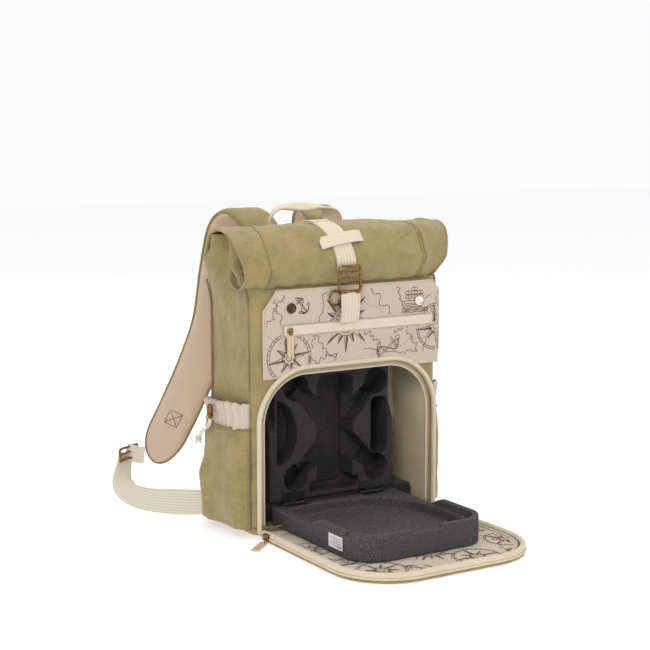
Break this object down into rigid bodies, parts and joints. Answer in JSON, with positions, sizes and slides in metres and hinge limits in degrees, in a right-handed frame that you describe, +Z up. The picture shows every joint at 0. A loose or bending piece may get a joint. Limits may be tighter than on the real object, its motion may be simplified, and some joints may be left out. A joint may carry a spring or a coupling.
{
  "type": "drone carrying case",
  "caption": "Roll-top canvas drone backpack with a fold-down front door and a hinged moulded foam drone case in its front compartment.",
  "frame": {"origin": "centre of the bag's flat base, on the ground", "axes": "+Z up, -Y out of the front compartment, +X to the bag's right in the front view"},
  "size_m": [0.4322, 0.489, 0.3992],
  "materials": {
    "canvas": "matte",
    "padding": "matte",
    "lining": "matte",
    "binding": "matte",
    "zip_tape": "matte",
    "webbing": "matte",
    "cuff": "matte",
    "cord": "matte",
    "leather": "satin",
    "brass": "satin",
    "steel": "satin",
    "foam": "matte",
    "hinge": "matte",
    "label": "matte"
  },
  "bodies": {
    "bag": {"main_shell": "canvas", "top_collar": "canvas", "roll_top": "canvas", "back_pad": "padding", "compartment_lining": "lining", "opening_piping": "binding", "base_pad": "lining", "front_panel": "lining", "pocket_zipper": "zip_tape", "snap_left": "brass", "snap_right": "steel", "closure_strap_upper": "webbing", "strap_keeper": "webbing", "hook_buckle": "brass", "closure_strap_lower": "webbing", "strap_ring": "brass", "carry_handle": "webbing", "case_tray": "foam", "shoulder_strap_left": "padding", "strap_webbing_left": "webbing", "strap_adjuster_left": "brass", "side_pocket_left": "canvas", "pocket_cuff_left": "cuff", "cord_lock_left": "brass", "drawcord_left": "cord", "cord_knot_left": "cord", "tray_hinge_left": "hinge", "shoulder_strap_right": "padding", "strap_webbing_right": "webbing", "strap_adjuster_right": "brass", "side_pocket_right": "canvas", "pocket_cuff_right": "cuff", "cord_lock_right": "brass", "drawcord_right": "cord", "cord_knot_right": "cord", "tray_hinge_right": "hinge"},
    "door": {"door_panel": "canvas", "door_lining": "lining", "door_rim": "binding", "door_zip_pull": "leather"},
    "case_lid": {"case_lid": "foam", "case_label": "label", "lid_hinge_left": "hinge", "lid_hinge_right": "hinge", "hinge_pin_left": "steel", "hinge_pin_right": "steel"},
    "zip_slider": {"pocket_zip_slider": "brass", "pocket_zip_pull": "leather"}
  },
  "joints": [
    {"name": "door_hinge", "type": "hinge", "parent": "bag", "child": "door", "pos_m": [0, -0.066, 0.014], "axis": [-1, 0, 0], "range_deg": [0, 70]},
    {"name": "case_hinge", "type": "hinge", "parent": "bag", "child": "case_lid", "pos_m": [-0.005, -0.03, 0.03], "axis": [-1, 0, 0], "range_deg": [0, 70]},
    {"name": "pocket_zip", "type": "slide", "parent": "bag", "child": "zip_slider", "axis": [1, 0, 0], "range_m": [0, 0.2]}
  ],
  "couplings": [
    {"joint": "case_hinge", "follows": "door_hinge", "ratio": 1}
  ]
}
